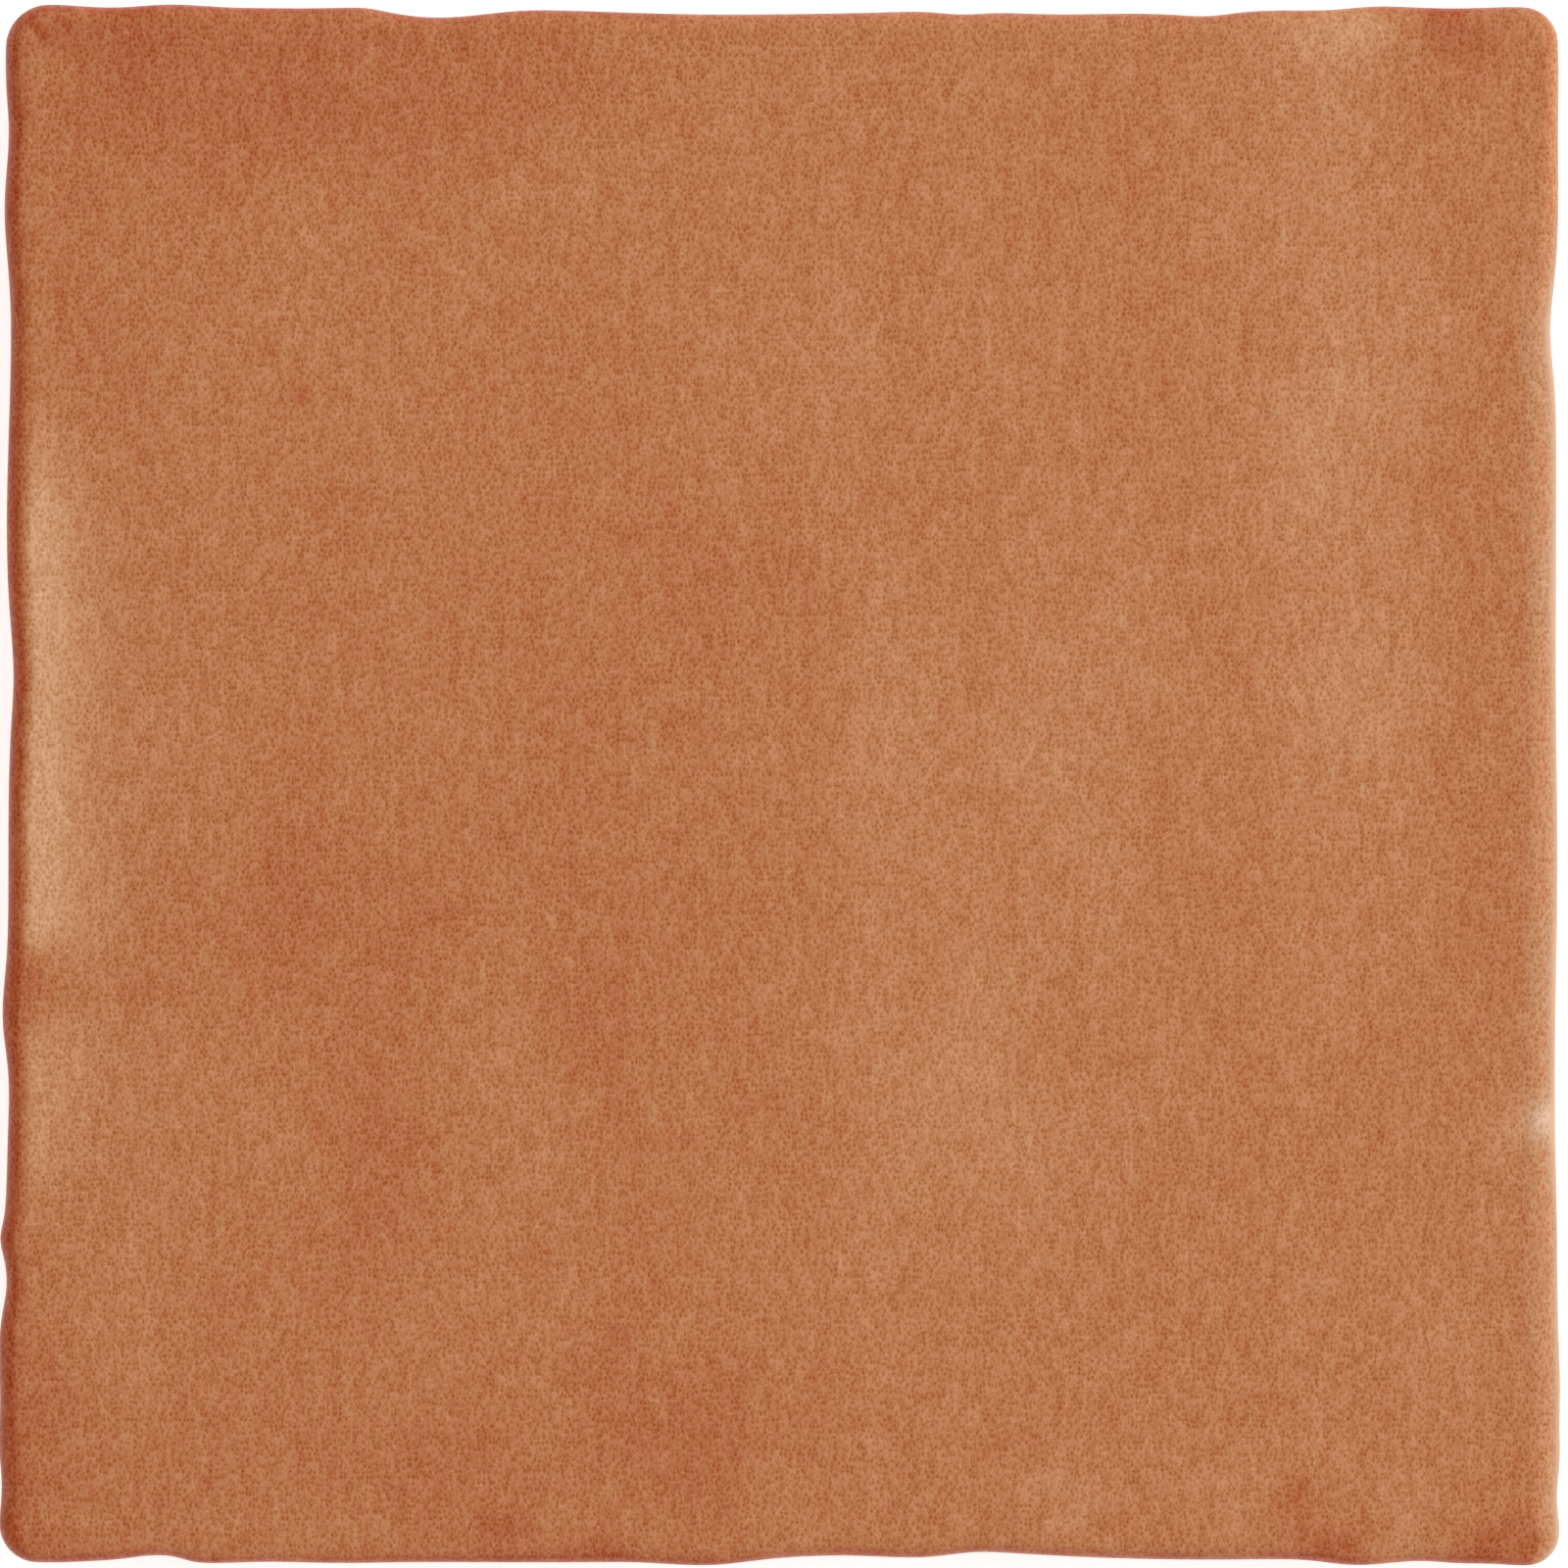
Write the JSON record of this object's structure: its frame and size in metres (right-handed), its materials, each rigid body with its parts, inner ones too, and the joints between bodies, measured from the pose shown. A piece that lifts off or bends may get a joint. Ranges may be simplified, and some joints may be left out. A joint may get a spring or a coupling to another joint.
{
  "type": "wall tile",
  "caption": "Square glazed ceramic wall tile with softly wavy sides, rounded corners, a rolled rim and a keyed back, for lining walls.",
  "frame": {"origin": "middle of the tile's overall square, on the plane of its back", "axes": "+Z points out of the glazed face, +X to the right and +Y to the top of the tile as it is seen on a wall"},
  "size_m": [0.132, 0.132, 0.0085],
  "materials": {
    "glazed_clay": "satin"
  },
  "bodies": {
    "root": {"wall_tile": "glazed_clay"}
  },
  "joints": []
}
